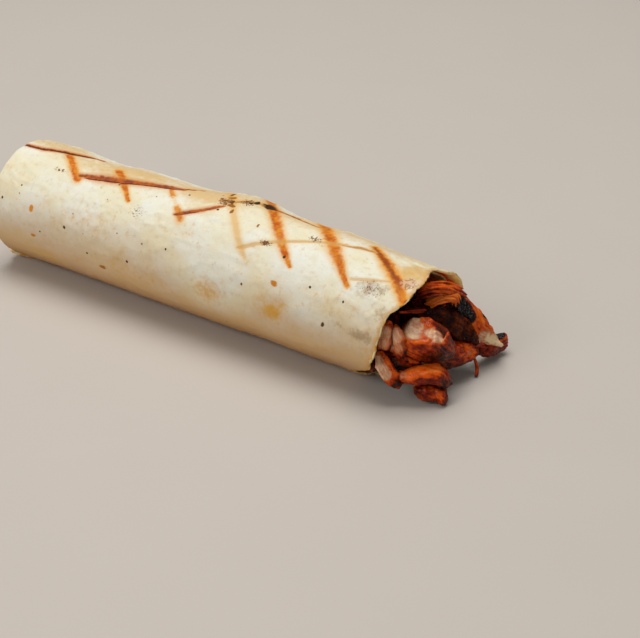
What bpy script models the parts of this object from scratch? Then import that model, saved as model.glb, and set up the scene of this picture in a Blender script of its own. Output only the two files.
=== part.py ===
"""A grilled chicken kebab wrap lying on its flattened underside.

One sheet of thin flatbread is wound one and three quarter turns round a chicken filling. Its left end is
folded shut and its right end is an open, torn mouth, from which grilled chicken pieces spill.

The roll's axis runs along X, with the mouth at +X. Z is up and the roll rests on Z = 0. A place along
the roll is its station, counted from the folded end. An angle round the roll counts from the top, 0,
towards the near side, -Y, at 90.
"""

import math

import bmesh
import bpy
from mathutils import Vector, noise

MM = 0.001

# Driving dimensions of the roll
LENGTH = 215 * MM
RADIUS = 27.9 * MM
AXIS_HEIGHT = 26.4 * MM
SHEET = 1.2 * MM
LAYER_STEP = 1.6 * MM
WOUND = 636
FREE_EDGE = 168
END_ROUNDING = 3.6 * MM
TIGHTEST_BEND = 1.5 * MM
END_DISH = 3.0 * MM
END_HOLE = 1.5 * MM
END_TWIST = 110
PLEAT = 0.7 * MM
CLEARANCE = 0.35 * MM
MERGE = 0.001 * MM

# The filling inside the roll
CORE_START = 19 * MM
CORE_FRONT = 190 * MM

# The mesh of the sheet: columns round the roll, rows along it
COLUMN_STEP = 12
CAP_ROWS = 5
SHOULDER_ROWS = 3
SIDE_ROWS = 14

# The torn edge of the mouth: angle round the roll, and station
MOUTH_EDGE = (
    (-180, 201),
    (-120, 212),
    (-62, 216.5),
    (-40, 216.5),
    (-18, 212),
    (12, 215.2),
    (34, 214.2),
    (60, 208),
    (92, 205.8),
    (110, 202.5),
    (140, 190),
    (160, 194),
    (180, 201),
)

# The direction that the flat faces of several pieces look in: the near side, from above
FACING = (0.41, -0.73, 0.54)

# Colours, linear, with roughness
BREAD = ((0.76, 0.67, 0.50), 0.55)
CHICKEN = ((0.33, 0.075, 0.02), 0.35)
PALE_CHICKEN = ((0.42, 0.22, 0.12), 0.4)
CHARRED = ((0.035, 0.015, 0.01), 0.3)


def smooth(value, low, high):
    """0 below low, 1 above high, and an even S between them."""
    t = min(1.0, max(0.0, (value - low) / (high - low)))
    return t * t * (3 - 2 * t)


def bell(value, middle, width):
    return math.exp(-(((value - middle) / width) ** 2))


def wrapped(angle):
    """The same angle, from -180 to 180."""
    return (angle + 180) % 360 - 180


def swell(station, angle):
    """How far the roll stands out of, or sinks below, its plain radius."""
    far_top = max(0.0, math.cos(math.radians(angle + 33))) ** 1.5
    s = station / MM
    bulge = 3.0 * bell(s, 121, 17) - 0.9 * bell(s, 48, 13) - 3.0 * smooth(s, 170, 216)
    place = Vector((s / 26, math.sin(math.radians(angle)) * 1.4, math.cos(math.radians(angle)) * 1.4))
    return (bulge * far_top + 0.55 * noise.noise(place)) * MM


def free_edge_angle(station):
    """Where the sheet's outer edge lies: under the near side, and a little higher at the folded end."""
    return FREE_EDGE - 24 * bell(station / MM, 1, 10)


def folded_end(angle):
    """The station of the folded end, which slants back on the far side."""
    return (1.0 + 7.0 * bell(wrapped(angle), -48, 32)) * MM


def mouth_edge(angle, wound):
    """The station of the mouth's edge at an angle. The inner layer ends a little elsewhere."""
    angle = wrapped(angle)
    for (a0, s0), (a1, s1) in zip(MOUTH_EDGE, MOUTH_EDGE[1:]):
        if angle <= a1:
            t = 0.5 - 0.5 * math.cos(math.pi * (angle - a0) / (a1 - a0))
            station = s0 + (s1 - s0) * t
            break
    ragged = 0.7 * noise.noise(Vector((angle / 9, wound / 360 * 3.1, 4.0)))
    inner = smooth(wound, 340, 400)
    return (station + ragged + inner * (-1.5 - 2.5 * smooth(abs(angle), 60, 130))) * MM


def layer_depth(wound):
    """How far a layer lies below the roll's outer face after this many degrees of winding."""
    return LAYER_STEP * wound / 360


def layer_floor(wound):
    """The height of a layer's lower face where the roll lies flat."""
    return LAYER_STEP * smooth(wound, 70, 330)


def on_roll(station, radius, angle, floor):
    turn = math.radians(angle)
    height = AXIS_HEIGHT + radius * math.cos(turn)
    return Vector((station - LENGTH / 2, -radius * math.sin(turn), max(height, floor)))


def sheet_path():
    """The sheet's rows, from the middle of the folded end, over its shoulder, to the mouth.

    Those along the side lie closer together near both ends.
    """
    rows = [("cap", i / CAP_ROWS) for i in range(CAP_ROWS)]
    rows += [("shoulder", i / SHOULDER_ROWS) for i in range(SHOULDER_ROWS)]
    for i in range(SIDE_ROWS + 1):
        t = i / SIDE_ROWS
        rows.append(("side", t - 0.115 * math.sin(2 * math.pi * t)))
    return rows


def sheet_point(wound, row):
    """A point of the sheet's outer face."""
    kind, t = row
    depth = layer_depth(wound)
    shoulder = max(END_ROUNDING - depth, TIGHTEST_BEND)
    if kind == "side":
        start = folded_end(free_edge_angle(0) + wound) + depth + shoulder
        station = start + (mouth_edge(free_edge_angle(LENGTH) + wound, wound) - start) * t
        angle = free_edge_angle(station) + wound
        radius = RADIUS + swell(station, angle) - depth
        return on_roll(station, radius, angle, layer_floor(wound))
    angle = free_edge_angle(0) + wound
    end = folded_end(angle)
    corner = RADIUS + swell(end, angle) - depth - shoulder
    if kind == "shoulder":
        turn = math.radians(90 * t)
        station = end + depth + shoulder * (1 - math.cos(turn))
        return on_roll(station, corner + shoulder * math.sin(turn), angle, layer_floor(wound))
    radius = END_HOLE + (corner - END_HOLE) * t
    inward = 1 - radius / corner
    pleat = PLEAT * math.sin(math.radians(7 * angle) + 4 * inward) * min(1.0, 2 * inward)
    dish = END_DISH * smooth(inward, 0, 0.6)
    return on_roll(end + depth + dish + pleat, radius, angle + END_TWIST * inward, 0)


def material(name, look):
    """A plain material of one colour, linear, and one roughness."""
    colour, roughness = look
    made = bpy.data.materials.new(name)
    made.use_nodes = True
    shader = made.node_tree.nodes["Principled BSDF"]
    shader.inputs["Base Color"].default_value = (*colour, 1)
    shader.inputs["Roughness"].default_value = roughness
    return made


def add_object(name, bm, collection, look=None):
    """An object of this mesh, with a material of its own where it has a look."""
    mesh = bpy.data.meshes.new(name)
    bm.to_mesh(mesh)
    bm.free()
    mesh.shade_smooth()
    obj = bpy.data.objects.new(name, mesh)
    collection.objects.link(obj)
    if look:
        mesh.materials.append(material(name, look))
    return obj


def make_flatbread(collection):
    """The wound sheet, an open surface made solid inwards."""
    rows = sheet_path()
    columns = [COLUMN_STEP * i for i in range(WOUND // COLUMN_STEP + 1)]
    bm = bmesh.new()
    grid = [[bm.verts.new(sheet_point(wound, row)) for row in rows] for wound in columns]
    for left, right in zip(grid, grid[1:]):
        for i in range(len(rows) - 1):
            bm.faces.new((left[i], right[i], right[i + 1], left[i + 1]))
    bread = add_object("flatbread", bm, collection, BREAD)
    shell = bread.modifiers.new("thickness", "SOLIDIFY")
    shell.thickness = SHEET
    shell.offset = -1
    shell.use_even_offset = True


def inner_radius(angle, station):
    """The radius of the room inside the innermost layer, less the clearance."""
    angle = wrapped(angle)
    wound = (angle - free_edge_angle(LENGTH)) % 360 + 360
    if wound > WOUND + 22:
        wound -= 360
    return RADIUS + swell(station, angle) - layer_depth(wound) - SHEET - CLEARANCE


def kept_inside(place):
    """The place, moved in where it would be in the bread or under the table."""
    station = place.x + LENGTH / 2
    angle = math.degrees(math.atan2(-place.y, place.z - AXIS_HEIGHT))
    free = smooth(station, mouth_edge(angle, 0) + 0.8 * MM, mouth_edge(angle, 0) + 4 * MM)
    radius = math.hypot(place.y, place.z - AXIS_HEIGHT)
    most = inner_radius(angle, station) + 20 * MM * free
    if radius > most:
        place = Vector((place.x, place.y, place.z - AXIS_HEIGHT)) * most / radius
        place = Vector((station - LENGTH / 2, place.y, place.z + AXIS_HEIGHT))
    inside_floor = LAYER_STEP + SHEET + CLEARANCE
    place.z = max(place.z, inside_floor * (1 - smooth(station, 203 * MM, 207 * MM)))
    return place


def spine_at(points, t):
    """A point at 0 to 1 along a smooth curve through the points."""
    if len(points) == 2:
        return points[0].lerp(points[1], t)
    last = len(points) - 1
    i = min(int(t * last), last - 1)
    u = t * last - i
    before = points[max(i - 1, 0)]
    after = points[min(i + 2, last)]
    a, b = points[i], points[i + 1]
    bend = (2 * before - 5 * a + 4 * b - after) * u * u + (3 * a - before - 3 * b + after) * u**3
    return 0.5 * (2 * a + (b - before) * u + bend)


def squared(value, power):
    """A cosine or sine pushed towards 1, which makes an ellipse blocky."""
    return math.copysign(abs(value) ** (2 / power), value)


class Chunk:
    """One piece of chicken: a lumpy, blocky sausage along a spine.

    The spine's points are station, y and z in mm. sizes are half its width and half its height in mm,
    spread evenly from its start to its end. up is the direction of its height. cuts are flat faces, each
    a direction and its distance from the middle in mm.
    """

    def __init__(self, name, spine, sizes, look, **form):
        self.name = name
        self.spine = [Vector((s * MM - LENGTH / 2, y * MM, z * MM)) for s, y, z in spine]
        self.sizes = [(w * MM, h * MM) for w, h in sizes]
        self.look = look
        self.up = Vector(form.get("up", (0, 0, 1)))
        self.blocky = form.get("blocky", 2.6)
        self.lumps = form.get("lumps", 0.7) * MM
        self.cuts = [(Vector(way).normalized(), distance * MM) for way, distance in form.get("cuts", ())]
        self.mesh = form.get("mesh", (12, 9))

    def half_size(self, t):
        last = len(self.sizes) - 1
        if last == 0:
            return self.sizes[0]
        i = min(int(t * last), last - 1)
        u = t * last - i
        (w0, h0), (w1, h1) = self.sizes[i], self.sizes[i + 1]
        return w0 + (w1 - w0) * u, h0 + (h1 - h0) * u

    def placed(self, unit, seed):
        """Where a point of the unit sphere goes."""
        flat = math.hypot(unit.x, unit.y)
        along = squared(unit.z, self.blocky)
        out = squared(flat, self.blocky)
        t = (1 + along) / 2
        middle = spine_at(self.spine, t)
        ahead = spine_at(self.spine, min(1, t + 0.02)) - spine_at(self.spine, max(0, t - 0.02))
        side = self.up.cross(ahead).normalized()
        up = ahead.cross(side).normalized()
        width, height = self.half_size(t)
        across = squared(unit.x / flat, self.blocky) * out if flat > 1e-6 else 0
        above = squared(unit.y / flat, self.blocky) * out if flat > 1e-6 else 0
        offset = side * across * width + up * above * height
        offset += ahead.normalized() * along * min(width, height) * 0.55
        lump = noise.noise(unit * 1.7 + Vector((seed * 3.7, 0, 0)))
        lump += 0.5 * noise.noise(unit * 4.1 + Vector((0, seed * 5.3, 0)))
        place = middle + offset * (1 + self.lumps * lump / max(min(width, height), MM))
        centre = spine_at(self.spine, 0.5)
        for normal, distance in self.cuts:
            beyond = (place - centre).dot(normal) - distance
            if beyond > 0:
                place = place - normal * beyond
        return kept_inside(place)

    def make(self, collection, seed):
        bm = bmesh.new()
        bmesh.ops.create_uvsphere(bm, u_segments=self.mesh[0], v_segments=self.mesh[1], radius=1)
        for vert in bm.verts:
            vert.co = self.placed(vert.co, seed)
        return add_object(self.name, bm, collection, self.look)


def core_lumps():
    """The pieces of the filling's front face, inside the mouth."""
    lumps = [
        Chunk("lump", [(189, 0, 27), (199, 0, 27)], [(9.5, 8)], None, mesh=(10, 8)),
        Chunk("lump", [(196, -5, 11), (206, -5, 11)], [(8, 7)], None, mesh=(10, 8)),
        Chunk("lump", [(197, 10, 13), (207, 10, 13)], [(7.5, 6.5)], None, mesh=(10, 8)),
    ]
    for i in range(6):
        turn = math.radians(60 * i + 20)
        s = 187 + 2.5 * (i % 2)
        y = -13 * math.sin(turn)
        z = 26 + 13 * math.cos(turn)
        size = 8 + i % 3
        lumps.append(Chunk("lump", [(s, y, z), (s + 10, y, z)], [(size, 0.85 * size)], None, mesh=(10, 8)))
    return lumps


def make_core(collection, cutters):
    """The filling inside the roll, with the rough pieces of its front face fused on."""
    bm = bmesh.new()
    bmesh.ops.create_uvsphere(bm, u_segments=20, v_segments=14, radius=1)
    for vert in bm.verts:
        flat = math.hypot(vert.co.x, vert.co.y)
        angle = math.degrees(math.atan2(-vert.co.y, vert.co.x)) if flat > 1e-6 else 0
        station = CORE_START + (CORE_FRONT - CORE_START) * (1 + squared(vert.co.z, 9)) / 2
        radius = (inner_radius(angle, station) - 2 * CLEARANCE) * squared(flat, 7)
        vert.co = on_roll(station, radius, angle, LAYER_STEP + SHEET + CLEARANCE)
    bmesh.ops.recalc_face_normals(bm, faces=bm.faces)
    core = add_object("filling_core", bm, collection, CHARRED)
    for i, lump in enumerate(core_lumps()):
        lump.make(cutters, 20 + i)
    fuse = core.modifiers.new("pieces", "BOOLEAN")
    fuse.operation = "UNION"
    fuse.operand_type = "COLLECTION"
    fuse.collection = cutters
    apply_modifiers(core)
    for obj in list(cutters.objects):
        bpy.data.objects.remove(obj)
    return core


def islands(bm):
    """The mesh's vertices, in a set for each separate body."""
    left = set(bm.verts)
    found = []
    while left:
        island = set()
        edge = {left.pop()}
        while edge:
            vert = edge.pop()
            island.add(vert)
            edge |= {link.other_vert(vert) for link in vert.link_edges} - island
        left -= island
        found.append(island)
    return found


def apply_modifiers(obj):
    """Puts the evaluated mesh, without loose scraps, in place of the object's own."""
    bpy.context.view_layer.update()
    graph = bpy.context.evaluated_depsgraph_get()
    mesh = bpy.data.meshes.new_from_object(obj.evaluated_get(graph))
    obj.modifiers.clear()
    bm = bmesh.new()
    bm.from_mesh(mesh)
    bmesh.ops.remove_doubles(bm, verts=bm.verts, dist=MERGE)
    bmesh.ops.dissolve_degenerate(bm, edges=bm.edges, dist=MERGE)
    bmesh.ops.triangulate(bm, faces=bm.faces)
    kept = max(islands(bm), key=len)
    scraps = [vert for vert in bm.verts if vert not in kept]
    bmesh.ops.delete(bm, geom=scraps, context="VERTS")
    bm.to_mesh(mesh)
    bm.free()
    mesh.shade_smooth()
    obj.data = mesh


def box_of(obj):
    """The object's lowest and highest x, y and z."""
    places = [vert.co for vert in obj.data.vertices]
    return [(min(p[axis] for p in places), max(p[axis] for p in places)) for axis in range(3)]


def near(a, b):
    """Whether the boxes of two objects come within the clearance of each other."""
    for (low_a, high_a), (low_b, high_b) in zip(box_of(a), box_of(b)):
        if low_a > high_b + CLEARANCE or low_b > high_a + CLEARANCE:
            return False
    return True


def grown_copy(obj, cutters):
    """A copy that is larger all round by the clearance."""
    bm = bmesh.new()
    bm.from_mesh(obj.data)
    bm.normal_update()
    moves = [(vert, vert.normal * CLEARANCE) for vert in bm.verts]
    for vert, move in moves:
        vert.co += move
    return add_object(obj.name + "_grown", bm, cutters)


def clear_of(piece, others, cutters):
    """Cuts the piece back from those it touches, so that each lies against the other with a hair's gap."""
    touching = [other for other in others if near(piece, other)]
    for other in touching:
        cut = piece.modifiers.new(other.name, "BOOLEAN")
        cut.operation = "DIFFERENCE"
        cut.object = grown_copy(other, cutters)
        cut.solver = "MANIFOLD"
    if touching:
        apply_modifiers(piece)
    for obj in list(cutters.objects):
        bpy.data.objects.remove(obj)


def front_pieces():
    """The large pieces in front and the low ones at the near side."""
    return [
        Chunk(
            "chicken_chunk_middle",
            [(212, -12, 32.5), (215.5, -11.5, 29.5), (219, -6, 25), (222, 1, 18)],
            [(5.5, 6.5), (8.5, 8.5), (7.5, 7.5), (6, 6)],
            PALE_CHICKEN,
            up=(0.3, -0.3, 0.9),
            blocky=3.4,
            lumps=0.9,
            cuts=[((0.25, -0.4, 0.87), 4.8), ((0.45, -0.85, -0.2), 6.5), ((-0.75, -0.3, 0.6), 8.0)],
            mesh=(20, 14),
        ),
        Chunk(
            "chicken_strip_low",
            [(212.5, -18.5, 13), (217, -17.2, 13.5), (221, -13.5, 14), (225.5, -9.5, 13), (227.5, -7, 8.5)],
            [(2.0, 2.0), (3.4, 2.8), (4.4, 3.4), (4.2, 4.0), (3.4, 3.8)],
            CHICKEN,
            blocky=2.8,
            lumps=0.8,
            mesh=(14, 12),
        ),
        Chunk(
            "chicken_strip_left",
            [(204.5, -22.5, 24), (207.5, -22, 17.5), (211, -21.5, 13), (213, -19.5, 9.5)],
            [(2.4, 2.0), (3.3, 2.6), (3.3, 2.6), (2.4, 2.2)],
            PALE_CHICKEN,
            up=FACING,
            blocky=3.0,
            lumps=0.6,
            cuts=[(FACING, 1.9)],
            mesh=(12, 12),
        ),
        Chunk(
            "chicken_piece_bottom",
            [(218, -13.5, 5.5), (222.5, -12, 4.8), (227, -10, 3.8), (229.5, -12, 2.8)],
            [(2.4, 2.8), (3.8, 3.6), (3.6, 3.4), (2.4, 2.6)],
            CHICKEN,
            blocky=2.6,
            lumps=0.8,
            mesh=(12, 12),
        ),
        Chunk(
            "chicken_chunk_right",
            [(219, 3.5, 13), (223.5, 12, 11), (228, 18.5, 9.5)],
            [(6, 7.5), (6, 6.2), (4.0, 3.6), (2.0, 1.8)],
            CHICKEN,
            up=(0.2, -0.5, 0.8),
            blocky=2.8,
            lumps=1.0,
            mesh=(16, 12),
        ),
    ]


def strand_pieces():
    """The charred strip that hangs over the far side, and the fibrous strands above it."""
    return [
        Chunk(
            "chicken_strip_charred",
            [(219, 14, 35), (221.5, 18.5, 29), (224, 21, 23.5), (227, 22, 18), (230, 26.5, 12.5), (233, 32, 7)],
            [(2.6, 2.4), (4.2, 3.0), (4.6, 2.8), (4.2, 2.4), (3.2, 2.0), (0.9, 0.8)],
            CHARRED,
            up=FACING,
            blocky=2.7,
            lumps=0.9,
            mesh=(14, 18),
        ),
        Chunk(
            "chicken_strand_upper",
            [(206, 3, 38.5), (212, 4, 41.8), (215.5, 9, 41), (218, 14.5, 38), (219.5, 19, 34), (220.5, 22, 31)],
            [(2.4, 2.6), (2.4, 2.8), (2.6, 2.6), (1.7, 1.8)],
            CHICKEN,
            up=FACING,
            lumps=0.7,
            mesh=(12, 14),
        ),
        Chunk(
            "chicken_strand_inner",
            [(209.5, 4.5, 33.5), (212, 5.5, 34.5), (214.5, 7, 36.5), (217.5, 10.5, 37), (219.5, 13.5, 35)],
            [(1.8, 1.8), (2.8, 1.9), (2.8, 1.9), (2.2, 1.9)],
            CHICKEN,
            up=FACING,
            lumps=0.6,
            mesh=(12, 12),
        ),
        Chunk(
            "chicken_strand_thin",
            [(207, -10, 36.5), (210, -5, 35.2), (213.3, 4, 32.4), (216, 11, 32)],
            [(0.8, 0.8), (1.0, 0.9), (1.0, 0.9), (1.2, 1.0)],
            CHICKEN,
            up=FACING,
            lumps=0.2,
            mesh=(8, 12),
        ),
    ]


def rim_slices():
    """The pale slices that stand just inside the near rim."""
    return [
        Chunk(
            "chicken_slice_rim",
            [(206, -19.5, 36.5), (206.5, -21, 31.5), (207, -22, 26.5)],
            [(1.8, 3.5), (2.1, 4.0), (1.9, 3.2)],
            PALE_CHICKEN,
            up=(1, 0, 0),
            blocky=3.0,
            lumps=0.5,
        ),
        Chunk(
            "chicken_slice_left",
            [(208, -17, 33), (210.5, -18, 28.5), (212.5, -17.5, 23)],
            [(2.2, 4.0), (2.9, 4.2), (2.6, 3.6)],
            PALE_CHICKEN,
            up=(1, 0, 0),
            blocky=3.0,
            lumps=0.6,
            mesh=(12, 10),
        ),
    ]


def back_pieces():
    """The dark pieces behind and beyond the large ones."""
    return [
        Chunk(
            "chicken_nub_charred",
            [(226, 24, 7), (228.5, 32, 5.5), (230, 39.5, 5.5)],
            [(3.0, 3.0), (3.4, 3.6), (3.2, 3.8)],
            CHARRED,
            blocky=2.8,
            lumps=0.9,
            mesh=(12, 10),
        ),
        Chunk(
            "chicken_piece_dark",
            [(206, 1, 30), (212.5, 8.5, 27.5), (219, 16, 21.5), (224.5, 21.5, 13)],
            [(7.0, 6.5), (7.5, 7.0), (7.0, 6.0), (5.0, 4.5)],
            CHARRED,
            lumps=1.0,
            mesh=(14, 12),
        ),
    ]


def small_bits():
    """The small bits between the others, and the shred that hangs to the table."""
    return [
        Chunk(
            "chicken_bit_left",
            [(208.5, -14, 17.5), (213, -12.5, 18), (217, -10.5, 16)],
            [(3.0, 3.0), (3.2, 3.0), (2.6, 2.4)],
            CHICKEN,
            lumps=0.6,
        ),
        Chunk(
            "chicken_bit_corner",
            [(194, -15, 13), (199, -18.5, 14), (202.5, -19.5, 14)],
            [(3.0, 3.4), (3.0, 3.2), (2.2, 2.8)],
            CHICKEN,
            lumps=0.6,
        ),
        Chunk(
            "chicken_shred",
            [(227, 18.5, 6.5), (229.5, 16.8, 3.6), (230.5, 14.5, 0.9)],
            [(0.8, 0.8), (0.8, 0.8), (0.9, 0.9)],
            CHICKEN,
            up=(1, 0, 0),
            lumps=0.15,
            mesh=(8, 10),
        ),
    ]


def main():
    for obj in list(bpy.data.objects):
        bpy.data.objects.remove(obj)
    parts = bpy.data.collections.new("chicken_kebab_wrap")
    cutters = bpy.data.collections.new("cutters")
    cutters.hide_render = True
    for collection in (parts, cutters):
        bpy.context.scene.collection.children.link(collection)
    make_flatbread(parts)
    core = make_core(parts, cutters)
    # Those in front come first: a later piece is cut back from the earlier ones
    chunks = front_pieces() + strand_pieces() + rim_slices() + back_pieces() + small_bits()
    done = []
    for seed, chunk in enumerate(chunks):
        piece = chunk.make(parts, seed)
        clear_of(piece, done, cutters)
        done.append(piece)
    clear_of(core, done, cutters)


main()
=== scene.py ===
"""The looks of a grilled chicken kebab wrap: its flatbread, its chicken, the floor, light and camera.

Lengths in this script are in mm, and are turned into metres where a point or a size is handed to Blender.
The roll's axis runs along X, with the open mouth at +X. A place along the roll is its station, counted
from the folded end. An angle round the roll counts from the top, 0, towards the near side, -Y, at 90.
"""

import math

import bmesh
import bpy
import numpy as np
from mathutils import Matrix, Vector, noise


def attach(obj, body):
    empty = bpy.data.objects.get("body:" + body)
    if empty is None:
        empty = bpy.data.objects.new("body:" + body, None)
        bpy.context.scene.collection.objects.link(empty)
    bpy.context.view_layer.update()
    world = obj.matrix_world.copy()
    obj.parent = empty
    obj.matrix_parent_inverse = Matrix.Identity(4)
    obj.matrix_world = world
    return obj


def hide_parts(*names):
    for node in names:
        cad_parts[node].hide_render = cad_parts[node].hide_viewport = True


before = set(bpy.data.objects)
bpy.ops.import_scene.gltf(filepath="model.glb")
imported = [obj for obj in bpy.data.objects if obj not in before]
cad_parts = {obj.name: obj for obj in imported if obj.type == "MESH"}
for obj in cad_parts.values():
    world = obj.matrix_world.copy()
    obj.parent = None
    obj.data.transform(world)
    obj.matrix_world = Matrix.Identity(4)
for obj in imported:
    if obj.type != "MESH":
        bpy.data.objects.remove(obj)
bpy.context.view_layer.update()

MM = 0.001

# The roll, as in the CAD model
LENGTH = 215
RADIUS = 27.9
AXIS_HEIGHT = 26.4
SHEET = 1.2
LAYER_STEP = 1.6
WOUND = 636
FREE_EDGE = 168

# How the free edge is higher towards the folded end: station, half length, and how many degrees
EDGE_RISE = (1, 10, 24)

# Where the far top swells or sinks: station, half length and height. It narrows towards the mouth
FAR_TOP = -33
SWELLINGS = ((121, 17, 3.0), (48, 13, -0.9))
NARROWING = 3.0
NARROWED = (170, 216)
UNEVENNESS = 0.55

# The folded end: its station, how far it slants back on the far side (angle, half width, mm), its rounded
# shoulder, and the dish, the twist and the pleats in its middle
END_START = 1.0
END_SLANT = (-48, 32, 7.0)
END_ROUNDING = 3.6
TIGHTEST_BEND = 1.5
END_DISH = 3.0
END_HOLE = 1.5
END_TWIST = 110
PLEAT = 0.7
PLEATS = 7

# The torn edge of the mouth: angle round the roll, and station
MOUTH_EDGE = (
    (-180, 201), (-120, 212), (-62, 216.5), (-40, 216.5), (-18, 212), (12, 215.2), (34, 214.2),
    (60, 208), (92, 205.8), (110, 202.5), (140, 190), (160, 194), (180, 201),
)

# The raggedness of the torn edge: height, length in degrees, how fast it changes with the winding, and seed
RAGGED = ((0.7, 9, 3.1, 4.0), (0.45, 3.1, 5.3, 9.0))

# How far the layer inside ends behind the torn edge, and the degrees of winding over which it falls back
INNER_RECESS = 5.0
EDGE_FALLS = (340, 400)

# Degrees of winding over which the sheet comes to lie on its own first turn, and over which the relief ends
LIFTED = (70, 330)
OUTER_ENDS = (345, 368)

# Where the rim curls outwards: angle, width in degrees, and how far, as a share of a full curl
CURLS = ((-62, 26, 1.0), (96, 8, 0.9))
CURL_LENGTH = 2.4
FULL_CURL = 1.35

# The sheet thins by this much towards the torn edge, from this share of its length, and is a little uneven
EDGE_THINNING = 0.35
THINNING_START = 0.975
THICKNESS_CHANGE = 0.12

# The low relief of the outer face, as heights in mm
WAVES = 0.2
WRINKLES = 0.16
BLISTERS = 0.34
PITS = 0.12
CROSS_GROOVES = 0.38
LONG_GROOVES = 0.5
BUBBLES = 0.3

# The mesh of the flatbread: how far each stretch of winding reaches, in degrees, and the step in it. It is
# finest over the top, where the grill marks are, and coarse in the turns inside
WINDING_STEPS = ((90, 3.6), (140, 2.4), (246, 1.2), (320, 2.4), (372, 3.6), (WOUND, 6))
CAP_ROWS = 14
SHOULDER_ROWS = 6
SIDE_ROWS = 150
RIM_ROWS = 30
RIM_SHARE = 0.07
EDGE_ROWS = 4
EDGE_BULGE = 0.4

# The meshes of the chicken. Each round of smoothing is a step in and a step back out
NEAREST_BATCH = 20000
TUBE_SIDES = 10
TEAR_ROWS = 8
SMOOTHING = (0.6, -0.62)

# The distance to a mark where there is none
FAR_AWAY = 99.0

# Grill marks across the roll: lines of points (station, angle, half width), and how strongly each is browned
CROSS_MARKS = (
    (((28.7, -1, 1.6), (42.4, 25, 1.7)), 0.9),
    (((55.6, -4, 1.8), (63.0, 10, 1.7), (72.5, 30, 0.8)), 0.9),
    (((86.4, 2, 0.8), (90.4, 10, 1.2)), 0.75),
    (((90.4, 10, 0.6), (96.0, 21, 0.8)), 0.35),
    (((96.0, 21, 1.1), (101.1, 32, 1.6)), 0.75),
    (((108.2, -25, 1.6), (122.3, 10, 1.3), (133.7, 38, 1.3), (138.5, 48, 0.6)), 0.48),
    (((126.4, -33, 2.3), (142.7, 5, 2.1), (155, 33, 1.5), (159.6, 42, 0.7)), 0.9),
    (((157.3, -24, 2.5), (173.7, 13, 2.3), (187.1, 42, 0.9)), 1.0),
    (((186.0, -12, 1.7), (197.3, 7, 2.3), (205.9, 23, 2.2), (213.5, 41, 1.6)), 1.15),
)

# Scorched lines along the roll
LONG_MARKS = (
    (((2.6, 3, 0.7), (15.5, 1.8, 1.1), (29.7, -6, 1.0), (42.8, -17, 0.5)), 0.95),
    (
        ((42, 19, 0.9), (52, 15, 1.9), (64, 9.5, 1.9), (75.8, 3.5, 1.4), (91.9, -4, 0.8), (98.6, -15, 0.4)),
        0.8,
    ),
    (((46, 20.0, 0.5), (54, 16.6, 0.7), (64, 12.0, 0.7), (76, 5.6, 0.6), (88, -0.5, 0.5)), 1.0),
    (((97.0, 29, 0.5), (103.0, 23, 0.9), (109.2, 16, 0.9), (116.2, 6, 0.6)), 0.8),
    (((97.6, 29, 0.4), (102.4, 24.5, 0.5), (107, 19.5, 0.4)), 1.0),
    (((133.3, 40, 0.9), (141.8, 30, 1.1), (149.4, 22, 0.9), (166.8, 6, 0.7), (176, 1, 0.8)), 0.4),
    (((174, 3, 0.6), (181, -1, 0.8), (187.9, -4, 0.7)), 0.6),
    (((187, 35, 0.6), (195, 30, 0.8), (203, 25, 0.5)), 0.32),
    (((112, -1, 0.6), (119, -4, 0.9), (124, -12, 0.8), (131, -16, 1.0)), 0.6),
    # A dark line along the crest, from station 131 to 158
    (((131, -17, 0.9), (142, -18, 0.6), (150, -17, 0.55), (158, -14, 0.4)), 0.75),
)

# Soft patches on the outer face: station, angle, half length and half width in mm, and strength
TOASTED = (
    (60, 0, 40, 7, 0.85), (20, -14, 22, 8, 0.9), (64, -12, 30, 8, 1.1), (108, -8, 16, 8, 0.6),
    (108, 14, 9, 4, 0.5), (104, -8, 22, 9, 1.3), (209, 4, 7, 9, 1.3), (112, -16, 100, 6, 0.75),
    (118, -4, 9, 5, 0.7), (180, -25, 40, 7, 0.8), (31, 116, 12, 5, 0.7), (5.7, 34, 3, 2.5, 0.5),
    (101, 40, 12, 5, 0.3),
)
YELLOWED = (
    (156.2, 86, 5.5, 4.5, 1.3), (155, 83, 9, 8, 0.55), (160, 78, 4.5, 3, 0.7),
    (124, 88, 8.5, 6.5, 0.85), (60, 60, 16, 9, 0.3), (80, 95, 20, 8, 0.35), (205, 100, 10, 8, 0.4),
    (186, 62, 14, 6, 0.25), (209, 4, 6, 8, 0.4),
)
GREYED = (
    (199.2, 80, 7, 3, 1), (190, 76, 9, 3, 0.4), (197.5, 37, 9, 5, 0.85), (205.8, 56, 4, 4, 0.6),
)
# Patches where the painted golden shade low on the sides is weakened, so that the dough is lighter there:
# painted light
SHADE_LIFTED_PATCHES = (
    (125, 76, 21, 15, 1.15), (173, 72, 14, 7, 0.7), (12, 66, 14, 9, 0.5),
)
SPECKLED = (
    (197.5, 37, 8, 5, 0.7), (31.8, 21.5, 5, 1.6, 0.9), (80.1, 38, 5, 4, 0.8),
    (144.1, 28, 4, 1.8, 1.25), (161.9, 6, 4, 2.2, 1.1), (166.5, 12, 3, 2, 0.6),
    (123.5, -9, 4, 4, 1.1), (115, 0, 5, 4, 1.1), (131.7, -17, 2.6, 1.6, 1.4),
    (205.8, 56, 4, 4, 0.35), (136.1, 14, 2, 3, 0.5),
)

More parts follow.
